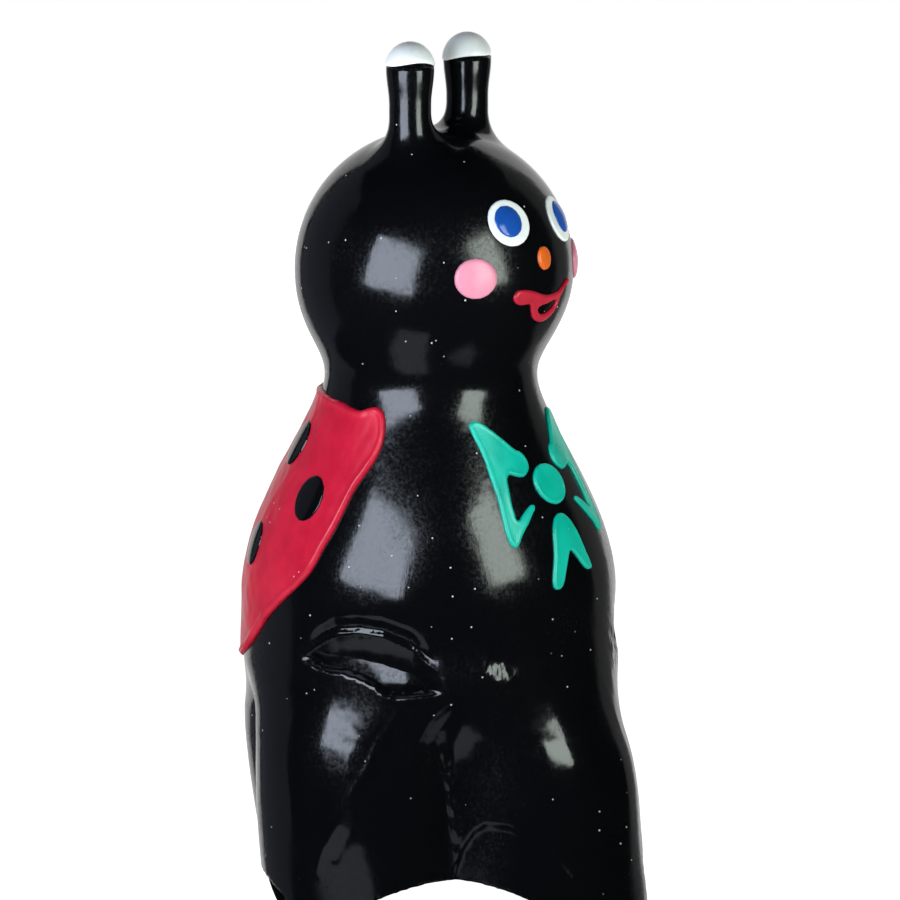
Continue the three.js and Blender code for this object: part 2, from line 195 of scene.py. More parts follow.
class Surface:
    """The skin as a formula, in millimetres and with its turning axis at x = 0, y = 0."""

    def __init__(self, sizes):
        for name in sizes.__annotations__:
            setattr(self, name, getattr(sizes, name) / MM)
        self.heights = np.arange(-4, self.head_height + 8, TABLE_STEP)
        kernel = bump(TABLE_STEP * np.arange(-TABLE_REACH, TABLE_REACH + 1), 1.5 * self.neck_softness)
        hard = self.hard_radius(self.heights)
        soft = np.convolve(np.pad(hard, TABLE_REACH, "edge"), kernel / kernel.sum(), "valid")
        # The softening fades out from 8 to 2 mm below the head's widest part, so the head stays round.
        share = ease((self.head_height - 2 - self.heights) / 6)
        self.softened = hard + share * (soft - hard)

    def radius(self, z):
        """Radius of the turned profile, with a soft neck."""
        above = z - self.head_height
        head = np.sqrt(np.maximum(self.head_radius ** 2 - above ** 2, 0))
        return np.where(above > 0, head, np.interp(z, self.heights, self.softened))

    def hard_radius(self, z):
        """Radius of the turned profile as the CAD solid has it."""
        rise = np.clip((self.neck_height - z) / (self.neck_height - self.belly_height), 0, 1)
        body = self.neck_radius + (self.belly_radius - self.neck_radius) * ease(rise ** SHOULDER_SKEW)
        flare = (self.belly_height - z) / (self.belly_height - self.skirt_height)
        body = body + (self.skirt_radius - self.belly_radius) * ease(flare)
        body = body - RIM_TUCK * np.maximum(0, 1 - z / RIM_TUCK_HEIGHT) ** 2
        above = z - self.head_height
        head = np.sqrt(np.maximum(self.head_radius ** 2 - above ** 2, 0))
        return np.where(above > 0, head, soft_max(body, head, NECK_BLEND))

    def forward(self, z):
        """How far the centre line runs forward."""
        low = np.maximum(0, 1 - z / FOOT_FORWARD_HEIGHT)
        head = ease((z - self.neck_height) / (self.head_height - self.neck_height))
        return FOOT_FORWARD * low ** FOOT_FORWARD_CURVE + HEAD_FORWARD * head

    def swell(self, angle, z):
        """How far the four legs stand out from the skirt, less the waist fold."""
        side_leg = math.pi / 2 + LEG_SPLAY * ease((LEG_TOP - z) / LEG_TOP)
        reach = np.zeros(np.shape(z))
        for axis in (0, side_leg, -side_leg, math.pi):
            across = LEG_REACH * np.sin(angle - axis)
            leg = LEG_REACH * np.cos(angle - axis) + np.sqrt(LEG_RADIUS ** 2 - across ** 2)
            reach = soft_max(reach, leg, LEG_BLEND)
        legs = (reach - self.skirt_radius) * ease((LEG_TOP - z) / LEG_FADE)
        across = (np.abs(np.degrees(angle)) - WAIST_FOLD_ANGLE) / WAIST_FOLD_HALF_SPAN
        waist = np.maximum(0, 1 - across ** 2) * bump(z - WAIST_FOLD_HEIGHT, WAIST_FOLD_HALF_HEIGHT)
        return legs - WAIST_FOLD_DEPTH * waist

    def base(self, angle, z):
        """Radius of the skin with its legs and its waist fold."""
        return self.radius(z) + self.swell(angle, z)

    def place(self, angle, z, out):
        """The point at an angle from the front and a height, moved out along the profile's normal."""
        step = 0.05
        slope = (self.radius(z + step) - self.radius(z - step)) / (2 * step)
        tilt = np.arctan(-slope)
        cap = z > self.head_height
        tilt = np.where(cap, np.arcsin(np.clip((z - self.head_height) / self.head_radius, -1, 1)), tilt)
        r = self.base(angle, z) + relief(np.degrees(angle), z) + out * np.cos(tilt)
        height = z + out * np.sin(tilt)
        return np.stack([r * np.sin(angle), -r * np.cos(angle) - self.forward(z), height], axis=-1)

    def antenna_radius_at(self, z):
        """Radius of an antenna's side at a height."""
        foot = ANTENNA_TOP - ANTENNA_DOME
        swell = ease((z - foot + ANTENNA_BULB_LENGTH) / ANTENNA_BULB_LENGTH)
        return self.antenna_radius + (self.bulb_radius - self.antenna_radius) * swell

    def depth_outside(self, p):
        """About how far points are outside the head and the two antennae, blended where they meet."""
        x, y, z = p[:, 0], p[:, 1] + self.forward(p[:, 2]), p[:, 2]
        head = np.sqrt(x * x + y * y + (z - self.head_height) ** 2) - self.head_radius
        foot = ANTENNA_TOP - ANTENNA_DOME
        for side in (-1, 1):
            across = np.hypot(p[:, 0] - side * ANTENNA_SPREAD, p[:, 1] + ANTENNA_FORWARD)
            shaft = across - self.antenna_radius_at(z)
            squeeze = self.bulb_radius / ANTENNA_DOME
            dome = np.hypot(across, (z - foot) * squeeze) - self.bulb_radius
            antenna = np.where(z > foot, dome, shaft)
            h = np.maximum(self.root_fillet - np.abs(head - antenna), 0) / self.root_fillet
            head = np.minimum(head, antenna) - h * h * self.root_fillet / 4
        return head


# ---- Wrinkles of the lower body, as (degrees from the front, height) ----

LID_TOP = [
    (48, 33.6), (54, 35.2), (59, 36.9), (68, 38.3), (76, 38.6), (84, 38.2), (89, 37.2), (94, 35.6),
    (98, 34.4),
]
LID_FLOOR = [(48, 33.2), (55, 33.4), (62, 33.9), (70, 34.4), (78, 34.8), (86, 34.9), (92, 34.6), (98, 34.3)]
LID_FOOT = [
    (48, 30.8), (63, 30.6), (66, 30.8), (70, 31.9), (75, 32.7), (81, 33.2), (89, 33.4), (94, 34.0),
    (98, 34.2),
]
LID_ENDS = (47, 59, 91, 98)  # degrees: starts, is full, starts to fade, ends
LID_ROOF_DEPTH = 1.5  # how far in the hollow goes at its floor
LID_WALL_DEPTH = 1.7  # how much farther in at its foot
LID_OVERHANG = 0.8
LID_OVERHANG_HEIGHT = 2.4  # how far above the lid's top it starts
LID_OVERHANG_END = (0.4, 0.6)  # how far below the lid's top it ends, and over what height
LID_LIP = 0.7  # height over which the lower lid comes back out
LID_THINNEST = 0.5  # least height of the roof and of the wall
WRINKLES = (
    # Height in mm (below 0 is a groove), half width in mm, points.
    (0.13, 0.45, [(63, 28.4), (64, 27.4), (68, 25.1), (72, 21.8), (77, 18.8), (82, 15.0), (88, 11.8),
                  (92, 8.7)]),
    (-0.1, 0.5, [(60, 28.4), (61, 27.0), (65, 24.6), (69, 21.4), (74, 18.0), (79, 14.2), (85, 10.8)]),
    (0.12, 0.45, [(40, 31.4), (48, 30.0), (52, 28.6), (55, 26.7), (58, 24.2), (61, 20.5), (62, 18.5)]),
    (-0.09, 0.5, [(45, 28.6), (50, 26.6), (53, 24.6), (56, 21.5), (57, 19)]),
    (0.1, 0.5, [(64, 21.8), (66, 18.5), (67, 15.0), (67, 12.5)]),
    (-0.1, 0.35, [(52, 26.0), (50, 24.2), (49, 20.5), (50, 16.2), (52, 12.1), (53, 8.0)]),
)
SCOOP_EDGE = [
    (53, 7.6), (51, 9.4), (46, 12.5), (42, 14.4), (38, 15.4), (32, 15.2), (26, 14.1), (21, 12.1),
    (16, 9.0),
]
SCOOP_DEPTH = 0.4
SCOOP_SLOPE = 1.3  # height over which its edge goes in
SCOOP_FADE = (6, 4)  # its edge's height where it starts, and how much higher it is full
SCOOP_RIM = (0.03, 0.35)  # height and half width of its raised edge
KNEES = (
    # Degrees from the front, height, depth, half width round the skirt and half height, in mm.
    (81.0, 16.5, 0.95, 5.5, 8.5),
    (7.0, 19.5, 1.4, 8.0, 8.5),
)
DIMPLE = (30.0, 34.8)  # degrees from the front, height
DIMPLE_REACH = 3.4
DIMPLE_DEPTH = 0.45
DIMPLE_CREASE = 0.1  # height of its ring and of the crumpled skin
WRINKLES_END = 44.0  # the skin is plain above this height


def in_millimetres(line):
    """Turns (degrees, height) points of a line into (millimetres round the skirt, height)."""
    return [(degrees * SKIN_DEGREE, z) for degrees, z in line]


def along(line, value):
    """Reads a line given as (at, value) pairs."""
    return np.interp(value, [a for a, _ in line], [b for _, b in line])


def waist_lens(side, z):
    """Lens-shaped fold at the waist: an overhang, a thin upper lid, a hollow that faces down, and a
    lower lid that comes back out."""
    top, floor, foot = along(LID_TOP, side), along(LID_FLOOR, side), along(LID_FOOT, side)
    start, full, fade, end = LID_ENDS
    ends = ease((side - start) / (full - start)) * ease((end - side) / (end - fade))
    roof = np.clip((top - z) / np.maximum(top - floor, LID_THINNEST), 0, 1)
    wall = np.clip((floor - z) / np.maximum(floor - foot, LID_THINNEST), 0, 1)
    hollow = (LID_ROOF_DEPTH * roof + LID_WALL_DEPTH * wall) * ease((z - foot) / LID_LIP)
    above = ease((top + LID_OVERHANG_HEIGHT - z) / LID_OVERHANG_HEIGHT)
    below, over = LID_OVERHANG_END
    overhang = LID_OVERHANG * above * ease((z - top + below) / over)
    return -ends * (hollow + overhang)


def dimple(side, z):
    """Round dimple in front of the waist fold, with a raised ring and crumpled skin round it."""
    across, up = (side - DIMPLE[0]) * SKIN_DEGREE, z - DIMPLE[1]
    reach = np.hypot(across, up)
    crumple = np.sin(2.6 * reach + 2.0 * np.arctan2(up, across)) * np.sin(5.1 * across + 2.3 * up)
    raised = bump(reach - DIMPLE_REACH * 0.7, 0.7) + crumple * bump(reach, DIMPLE_REACH)
    return DIMPLE_CREASE * raised - DIMPLE_DEPTH * bump(reach, DIMPLE_REACH / 2)


def scoop(side, z):
    """Scoop over each front arch, with a thin raised upper edge."""
    edge = np.array(SCOOP_EDGE[::-1])
    brow = np.interp(side, edge[:, 0], edge[:, 1], left=0, right=0)
    start, rise = SCOOP_FADE
    hollow = SCOOP_DEPTH * ease((brow - z) / SCOOP_SLOPE) * ease((brow - start) / rise)
    height, width = SCOOP_RIM
    from_edge = polyline_distance(side * SKIN_DEGREE, z, in_millimetres(SCOOP_EDGE))
    return height * bump(from_edge, width) - hollow


def relief(degrees, z):
    """Everything the skin has on top of its plain legs, in millimetres outward. Both sides match."""
    side = np.abs(degrees)
    out = waist_lens(side, z) + dimple(side, z) + scoop(side, z)
    for height, width, line in WRINKLES:
        out = out + height * bump(polyline_distance(side * SKIN_DEGREE, z, in_millimetres(line)), width)
    for at, height, depth, around, up_down in KNEES:
        out = out + depth * bump((side - at) * SKIN_DEGREE, around) * bump(z - height, up_down)
    return out * ease((WRINKLES_END - z) / 3)


def wobble(p, wavelength, seed):
    """Smooth, repeatable unevenness of about -1 to 1 over 3-D points, in millimetres."""
    turn = 2 * math.pi / wavelength
    x, y, z = p[..., 0] * turn, p[..., 1] * turn, p[..., 2] * turn
    a = np.sin(x + 1.7 * seed + 0.6 * np.sin(0.7 * z + seed)) * np.sin(0.9 * z + 0.5 * y + 2.1 * seed)
    b = np.sin(0.8 * y - 0.4 * x + 3.3 * seed) * np.cos(1.1 * z + 0.3 * x - seed)
    return (a + b) / 2


# ---- Materials ------------------------------------------------
# Sockets by number: Mix has its share at 0, its two numbers at 2 and 3, and its two colours at 6 and
# 7. Map Range reads from 1 to 2 and gives from 3 to 4.


def add_node(tree, kind, inputs=None, **settings):
    """Adds a node with its settings, and sets or links its inputs."""
    node = tree.nodes.new(kind)
    for name, value in settings.items():
        setattr(node, name, value)
    for name, value in (inputs or {}).items():
        if isinstance(value, bpy.types.NodeSocket):
            tree.links.new(value, node.inputs[name])
        else:
            node.inputs[name].default_value = value
    return node


def new_material(name, shown):
    """An empty node material, its shader and its object-space coordinates in metres."""
    material = bpy.data.materials.new(name)
    material.use_nodes = True
    material.diffuse_color = (*shown, 1)
    tree = material.node_tree
    tree.nodes.clear()
    shader = add_node(tree, "ShaderNodeBsdfPrincipled")
    add_node(tree, "ShaderNodeOutputMaterial", {"Surface": shader.outputs[0]})
    place = add_node(tree, "ShaderNodeTexCoord").outputs["Object"]
    return material, tree, shader, place


def per_metre(millimetres):
    """The texture scale that repeats a pattern every so many millimetres."""
    return 1 / (millimetres * MM)


def dust(tree, place, spacing, size):
    """A mask of dust grains: half the cells hold a grain of about the given radius, in mm. Real dust
    is finer, and is drawn this coarse so that it shows."""
    cells = add_node(tree, "ShaderNodeTexVoronoi", {"Vector": place, "Scale": per_metre(spacing)})
    near = {0: cells.outputs["Distance"], 1: size / spacing}
    grain = add_node(tree, "ShaderNodeMath", near, operation="LESS_THAN")
    pick = add_node(tree, "ShaderNodeSeparateColor", {0: cells.outputs["Color"]})
    some = add_node(tree, "ShaderNodeMath", {0: pick.outputs[0], 1: 0.5}, operation="LESS_THAN")
    both = {0: grain.outputs[0], 1: some.outputs[0]}
    return add_node(tree, "ShaderNodeMath", both, operation="MULTIPLY").outputs[0]


def dipped_rubber():
    """Natural rubber latex, dip moulded in black. The dried dip gives the eye a deep gloss broken by
    a slow orange peel, with pale dust and duller handling marks on it."""
    shade = linear("07080a")
    material, tree, shader, place = new_material("natural_rubber_dipped_black", shade)
    grains = dust(tree, place, 1.8, 0.11)
    dusty = {0: grains, 6: (*shade, 1), 7: (*linear("b9c0c2"), 1)}
    tint = add_node(tree, "ShaderNodeMix", dusty, data_type="RGBA")
    # Handling marks: patches of 9 mm where fine rubs, drawn coarse at 0.4 mm, make the gloss duller.
    patches = add_node(tree, "ShaderNodeTexNoise", {"Vector": place, "Scale": per_metre(9.0), "Detail": 3.0})
    rubs = add_node(tree, "ShaderNodeTexNoise", {"Vector": place, "Scale": per_metre(0.4), "Detail": 2.0})
    both = add_node(tree, "ShaderNodeMath", {0: patches.outputs[0], 1: rubs.outputs[0]}, operation="MULTIPLY")
    gloss = add_node(tree, "ShaderNodeMapRange", {0: both.outputs[0], 1: 0.18, 2: 0.55, 3: 0.11, 4: 0.34})
    rough = add_node(tree, "ShaderNodeMix", {0: grains, 2: gloss.outputs[0], 3: 0.8}, data_type="FLOAT")
    # Orange peel of 2.2 mm, and streaks of 0.45 mm that run down the dip.
    peel = add_node(tree, "ShaderNodeTexNoise", {"Vector": place, "Scale": per_metre(2.2), "Detail": 1.0})
    long_way = add_node(tree, "ShaderNodeMapping", {"Vector": place, "Scale": (1.0, 1.0, 0.08)})
    streaks = add_node(tree, "ShaderNodeTexNoise",
                       {"Vector": long_way.outputs[0], "Scale": per_metre(0.45), "Detail": 2.0})
    raised = add_node(tree, "ShaderNodeBump", {
        "Height": peel.outputs[0], "Strength": 1.0, "Distance": 0.03 * MM})
    lined = add_node(tree, "ShaderNodeBump", {
        "Height": streaks.outputs[0], "Strength": 1.0, "Distance": 0.008 * MM, "Normal": raised.outputs[0]})
    tree.links.new(tint.outputs[2], shader.inputs["Base Color"])
    tree.links.new(rough.outputs[0], shader.inputs["Roughness"])
    tree.links.new(lined.outputs[0], shader.inputs["Normal"])
    shader.inputs["IOR"].default_value = 1.52
    return material


def brushed_enamel(name, tint, roughness, peel=0.012, brush=0.006):
    """Thick enamel laid on by hand. It gives the eye a satin sheen, a colour a little uneven in depth
    every 4 mm, slow waves of 1.4 mm, faint brush lines drawn coarse at 0.4 mm, and pale dust. peel and
    brush are the depths of the waves and the lines, in mm."""
    material, tree, shader, place = new_material(name, tint)
    darker = tuple(v * 0.8 for v in tint)
    clouds = add_node(tree, "ShaderNodeTexNoise", {"Vector": place, "Scale": per_metre(4.0), "Detail": 3.0})
    body = add_node(tree, "ShaderNodeMapRange", {0: clouds.outputs[0], 1: 0.35, 2: 0.65})
    depths = {0: body.outputs[0], 6: (*darker, 1), 7: (*tint, 1)}
    shade = add_node(tree, "ShaderNodeMix", depths, data_type="RGBA")
    grains = dust(tree, place, 1.9, 0.1)
    pale = tuple(0.5 + 0.5 * v for v in tint)
    dusty = {0: grains, 6: shade.outputs[2], 7: (*pale, 1)}
    seen = add_node(tree, "ShaderNodeMix", dusty, data_type="RGBA")
    sheen = add_node(tree, "ShaderNodeMapRange", {0: clouds.outputs[0], 1: 0.3, 2: 0.7,
                                                  3: roughness * 0.85, 4: roughness * 1.2})
    slow = add_node(tree, "ShaderNodeTexNoise", {"Vector": place, "Scale": per_metre(1.4), "Detail": 2.0})
    lines = add_node(tree, "ShaderNodeMapping", {"Vector": place, "Scale": (1.0, 1.0, 0.15)})
    hairs = add_node(tree, "ShaderNodeTexNoise", {"Vector": lines.outputs[0], "Scale": per_metre(0.4)})
    raised = add_node(tree, "ShaderNodeBump", {"Height": slow.outputs[0], "Distance": peel * MM})
    brushed = add_node(tree, "ShaderNodeBump", {
        "Height": hairs.outputs[0], "Distance": brush * MM, "Normal": raised.outputs[0]})
    tree.links.new(seen.outputs[2], shader.inputs["Base Color"])
    tree.links.new(sheen.outputs[0], shader.inputs["Roughness"])
    tree.links.new(brushed.outputs[0], shader.inputs["Normal"])
    shader.inputs["IOR"].default_value = 1.48
    return material


def opal_acrylic():
    """Opal acrylic of a light table, matt sanded and lit from below. It gives the eye a pale ground,
    nearly without shadows, whose shade drifts a little every 60 mm."""
    pale = linear("ececec")
    material, tree, shader, place = new_material("opal_acrylic_sanded", pale)
    clouds = add_node(tree, "ShaderNodeTexNoise", {"Vector": place, "Scale": per_metre(60.0), "Detail": 2.0})
    depths = {0: clouds.outputs[0], 6: (*linear("e8e8e8"), 1), 7: (*pale, 1)}
    shade = add_node(tree, "ShaderNodeMix", depths, data_type="RGBA")
    tree.links.new(shade.outputs[2], shader.inputs["Base Color"])
    shader.inputs["Roughness"].default_value = 0.9
    shader.inputs["Specular IOR Level"].default_value = 0.1
    shader.inputs["Emission Color"].default_value = (1, 1, 1, 1)
    shader.inputs["Emission Strength"].default_value = 1.0
    return material


# ---- Mesh work ------------------------------------------------


def new_piece(name, mesh, material, slot, *nodes):
    """A finished piece of the figure: smooth, riding on the body, and standing for its CAD nodes."""
    mesh.polygons.foreach_set("use_smooth", [True] * len(mesh.polygons))
    mesh.materials.clear()
    mesh.materials.append(material)
    piece = bpy.data.objects.new(name, mesh)
    bpy.context.scene.collection.objects.link(piece)
    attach(piece, BODY)
    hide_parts(*nodes)
    return piece


def to_frame(points):
    """Points about the turning axis in millimetres, as frame coordinates in metres."""
    return (points + np.array([0, AXIS_Y, 0])) * MM


def from_frame(points):
    """Frame coordinates in metres, as millimetres about the turning axis."""
    return points / MM - np.array([0, AXIS_Y, 0])


def smooth_curve(points, closed, per_span=8):
    """A smooth curve through points, as an array. At each point it runs along the line between the
    point's two neighbours."""
    p = np.array(points, float)
    count = len(p)
    spans = count if closed else count - 1
    out = []
    for i in range(spans):
        index = [(i + k) % count if closed else min(max(i + k, 0), count - 1) for k in (-1, 0, 1, 2)]
        a, b, c, d = (p[k] for k in index)
        reach = np.linalg.norm(c - b)
        leave = (c - a) / max(np.linalg.norm(c - a), 1e-9) * reach
        arrive = (d - b) / max(np.linalg.norm(d - b), 1e-9) * reach
        for k in range(per_span):
            t = k / per_span
            s = t * t * (3 - 2 * t)
            out.append((1 - s) * b + s * c + t * (1 - t) ** 2 * leave - t * t * (1 - t) * arrive)
    if not closed:
        out.append(p[-1])
    return np.array(out)


def oval(half_width, half_height, middle=(0.0, 0.0), sides=72):
    """An oval outline."""
    turn = np.linspace(0, 2 * math.pi, sides, endpoint=False)
    return np.stack([middle[0] + half_width * np.cos(turn), middle[1] + half_height * np.sin(turn)], axis=1)


def distance_to_loops(points, loops):
    """Signed distance to the nearest loop, positive inside them, and the nearest place on it."""
    best = np.full(len(points), np.inf)
    nearest = np.zeros_like(points)
    inside = np.zeros(len(points), bool)
    for loop in loops:
        for a, b in zip(loop, np.roll(loop, -1, axis=0)):
            run = b - a
            square = run @ run
            if square < 1e-12:
                continue
            t = np.clip(((points - a) @ run) / square, 0, 1)
            foot = a + t[:, None] * run
            gap = np.hypot(*(points - foot).T)
            closer = gap < best
            best[closer] = gap[closer]
            nearest[closer] = foot[closer]
            crosses = (a[1] > points[:, 1]) != (b[1] > points[:, 1])
            rise = np.where(b[1] == a[1], 1e-12, b[1] - a[1])
            inside ^= crosses & (points[:, 0] < a[0] + (points[:, 1] - a[1]) * run[0] / rise)
    return np.where(inside, best, -best), nearest


def seal(mesh, join, sliver=0.0):
    """Joins points closer than join, removes faces thinner than sliver and loose points, and turns
    all faces outward. Sizes in millimetres."""
    closed = bmesh.new()
    closed.from_mesh(mesh)
    bmesh.ops.remove_doubles(closed, verts=closed.verts, dist=join * MM)
    if sliver:
        bmesh.ops.dissolve_degenerate(closed, edges=closed.edges, dist=sliver * MM)
    bmesh.ops.delete(closed, geom=[v for v in closed.verts if not v.link_faces], context="VERTS")
    bmesh.ops.recalc_face_normals(closed, faces=closed.faces)
    closed.to_mesh(mesh)
    closed.free()
    return mesh


def film_mesh(name, surface, loops, to_angle, height, step, sunk=0.1):
    """A closed paint film: a fine grid inside the loops, raised by height(distance from the edge),
    with its rim and underside sunk just into the skin."""
    low = np.min([loop.min(axis=0) for loop in loops], axis=0) - step
    high = np.max([loop.max(axis=0) for loop in loops], axis=0) + step
    columns, rows = (math.ceil(v) + 1 for v in (high - low) / step)
    gx, gy = np.meshgrid(low[0] + step * np.arange(columns), low[1] + step * np.arange(rows))
    points = np.stack([gx.ravel(), gy.ravel()], axis=1)
    distance, nearest = distance_to_loops(points, loops)
    # Grid points closer to the edge than a third of a step, or outside it, move onto the edge.
    inside = distance > 0.35 * step
    points = np.where(inside[:, None], points, nearest)
    corner = (np.arange(rows - 1)[:, None] * columns + np.arange(columns - 1)).ravel()
    quads = np.stack([corner, corner + 1, corner + columns + 1, corner + columns], axis=1)
    quads = quads[inside[quads].any(axis=1)]
    x, z = points[:, 0], points[:, 1]
    angle = to_angle(x, z)
    flat = np.stack([x, z, 0 * x], axis=1)
    lift = np.where(inside, height(np.maximum(distance, 0), flat), -sunk)
    top = surface.place(angle, z, lift)
    under = surface.place(angle, z, np.full(len(x), -sunk))
    count = len(points)
    underside = np.where(inside[quads], quads + count, quads)[:, ::-1]
    points = to_frame(np.concatenate([top, under]))
    mesh = bpy.data.meshes.new(name)
    mesh.from_pydata(points.tolist(), [], np.concatenate([quads, underside]).tolist())
    return seal(mesh, 0.004, 0.002)


def rolled(thickness, roll, bead=0.0, crown=0.0, uneven=0.0, base=0.0, seed=1):
    """Height of a film against distance from its edge: a rolled rim, an optional bead just inside
    it, a crown toward the middle and slow unevenness."""
    def height(distance, flat):
        t = np.clip(1 - distance / roll, 0, 1)
        edge = np.sqrt(1 - t * t)
        beaded = bead * bump(distance - roll, 0.6 * roll)
        crowned = crown * (1 - np.exp(-distance / 1.0))
        waves = uneven * wobble(flat, 5.0, seed) + 0.5 * uneven * wobble(flat, 2.3, seed + 2)
        return base + (thickness + beaded + crowned + waves) * edge
    return height


def from_angle(surface, angle):
    """Bends x, as arc length round the skin from an angle, into an angle from the front."""
    return lambda x, z: angle + x / surface.radius(z)


def angle_and_height(surface, node):
    """Where a mark's CAD solid sits on the skin, as angle from the front and height."""
    x, y, z = node_middle(node)
    return math.atan2(x, -(y - AXIS_Y + float(surface.forward(np.array(z))))), z


# ---- Outlines, in millimetres ---------------------------------

LIPS = [
    (-4.7, 2.1), (-5.3, 1.35), (-4.9, 0.55), (-3.9, 0.2), (-2.6, 0.15), (-2.15, -0.7), (-1.5, -1.65),
    (-0.3, -2.25), (0.95, -2.2), (2.2, -1.6), (3.1, -0.6), (3.5, 0.4), (4.2, 1.2), (5.8, 2.35),
    (4.0, 1.75), (2.8, 1.25), (0.7, 1.1), (-0.8, 1.4), (-2.1, 1.85), (-3.6, 2.15),
]
LIP_GAP = [
    (-1.0, -0.5), (-0.6, -0.2), (0.6, -0.05), (2.3, 0.25), (2.6, -0.1), (2.0, -0.75), (0.9, -1.2),
    (-0.3, -1.15),
]
MOUTH_HEIGHT = 77.0
BOW_LOOP = [
    (-7.5, 8.0), (-8.4, 7.6), (-8.5, 6.6), (-8.35, 5.0), (-8.35, 3.4), (-8.6, 1.3), (-8.8, -0.9),
    (-9.2, -3.3), (-9.4, -5.1), (-9.2, -6.4), (-8.6, -6.75), (-7.9, -6.3), (-7.3, -5.5), (-6.3, -4.6),
    (-4.8, -3.2), (-4.0, -2.4), (-4.15, -1.95), (-5.0, -2.2), (-6.3, -3.05), (-7.15, -3.55), (-7.25, -2.9),
    (-7.1, -1.6), (-6.7, 0.0), (-6.3, 1.2), (-5.8, 1.55), (-5.1, 1.35), (-4.1, 1.15), (-3.2, 1.5),
    (-2.5, 2.2), (-2.4, 3.2), (-2.9, 4.1), (-3.6, 4.45), (-4.6, 5.6), (-5.8, 6.9), (-6.8, 7.8),
]
BOW_TAILS = [
    (-0.1, -3.35), (-1.3, -3.7), (-2.2, -4.8), (-2.7, -6.0), (-3.3, -8.0), (-4.3, -10.9),
    (-4.25, -11.9), (-3.5, -12.2), (-2.7, -11.7), (-2.0, -10.4), (-1.1, -8.8), (-0.45, -7.9),
    (-0.1, -7.95), (0.7, -8.8), (1.7, -10.0), (2.6, -10.5), (3.3, -10.4), (3.35, -9.8),
    (2.8, -8.4), (2.3, -6.7), (1.7, -5.1), (0.9, -3.9),
]
WING_TOP = 65.3
# A wing case's edge, as degrees from the front and millimetres below its top.
WING_EDGE = [
    (150, 0), (130, 0.1), (117, 0.4), (104, 0.7), (96, 1.15), (90, 1.25), (85, 0.85), (81, 0.75), (77, 1.4),
    (75, 2.9), (74.6, 4.6), (76, 6.4), (79, 8.2), (82.5, 10.2), (85, 12.8), (87, 15.0), (90, 17.4),
    (93, 20.0), (97, 21.8), (105, 24.4), (113, 26.8), (120, 29.2), (128, 31.3), (140, 33.0), (155, 34.2),
    (168, 34.2),
]
WING_CORNER = 1.6  # how far the corners at the back seam are rounded
WING_CORNER_HEIGHTS = (1.5, 1.2)  # over what height, at the bottom and the top
SEAM_HALF_WIDTH = 0.75
DAB_SHARE = 0.8  # a dabbed mark's thickness, of a brushed film's
# Half width and half height of the round marks.
EYE_RING = (3.0, 3.0)
IRIS = (1.95, 2.05)
IRIS_SHIFT = (0.25, 0.15)  # outward and upward from the ring's middle
CHEEK = (2.75, 2.5)
LEFT_CHEEK_SHIFT = 0.8  # farther round than its CAD solid
NOSE = (1.25, 1.45)
KNOT = (2.75, 2.4)
SPOT = (2.35, 2.7)
HANDS = (("right", -1), ("left", 1))


def mark(surface, name, loops, to_angle, height, material, slot, step=0.13):
    """A paint mark that stands for the CAD node of the same name."""
    mesh = film_mesh(name, surface, loops, to_angle, height, step)
    return new_piece(name + "_paint", mesh, material, slot, name)


def lifted(points, height):
    """An outline moved up to its height on the figure."""
    return [(x, y + height) for x, y in points]


# ---- Operators ------------------------------------------------


class LADYBIRD_OT_skin(bpy.types.Operator):
    """Make the hollow rubber skin with its antennae, folds and feet"""
    bl_idname = "ladybird.skin"
    bl_label = "Rubber Skin"

    def execute(self, context):
        surface = Surface(context.scene.ladybird_skin)
        voxel = context.scene.ladybird_skin.voxel
        rough = bpy.data.objects.new("skin_rough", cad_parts["body_skin"].data.copy())
        context.scene.collection.objects.link(rough)
        remesh = rough.modifiers.new("Remesh", "REMESH")
        remesh.mode = "VOXEL"
        remesh.voxel_size = voxel
        mesh = bpy.data.meshes.new_from_object(rough.evaluated_get(context.evaluated_depsgraph_get()))
        bpy.data.objects.remove(rough)
        flat = np.empty(len(mesh.vertices) * 3)
        mesh.vertices.foreach_get("co", flat)
        points = from_frame(flat.reshape(-1, 3))
        points = self.shaped(surface, points)
        mesh.vertices.foreach_set("co", to_frame(points).ravel())
        mesh.update()
        new_piece("rubber_skin", mesh, dipped_rubber(), "black_rubber", "body_skin")
        return {"FINISHED"}

    def shaped(self, surface, points):
        """Moves the outside onto the exact surface and presses the finer folds into it."""
        x, y, z = points.T
        y = y + surface.forward(z)
        angle = np.arctan2(x, -y)
        r = np.hypot(x, y)
        plain = surface.hard_radius(z) + surface.swell(angle, z)
        inward = plain - r
        onto = 1 - ease((np.abs(inward) - CATCH) / CATCH)
        through = np.clip(1 - inward / SKIN_WALL, 0, 1)
        body = z < surface.head_height
        softer = surface.radius(z) - surface.hard_radius(z)
        moved = r + onto * inward + through * (softer + relief(np.degrees(angle), z))
        scale = np.where(body & (r > 1), moved / np.maximum(r, 1), 1)
        out = np.stack([x * scale, y * scale - surface.forward(z), z], axis=1)
        return self.onto_head(surface, out)

    def onto_head(self, surface, points):
        """Settles the head and antennae onto their blended surface by a few Newton steps."""
        apart = surface.depth_outside(points)
        chosen = (points[:, 2] >= surface.head_height) & (apart > -SETTLE_DEPTH)
        p = points[chosen]
        step = 0.02
        for _ in range(SETTLE_STEPS):
            value = surface.depth_outside(p)
            moved = [surface.depth_outside(p + step * axis) for axis in np.eye(3)]
            slope = np.stack([(there - value) / step for there in moved], axis=1)
            p = p - (value / np.maximum((slope ** 2).sum(axis=1), 0.2))[:, None] * slope
        points[chosen] = p
        return points


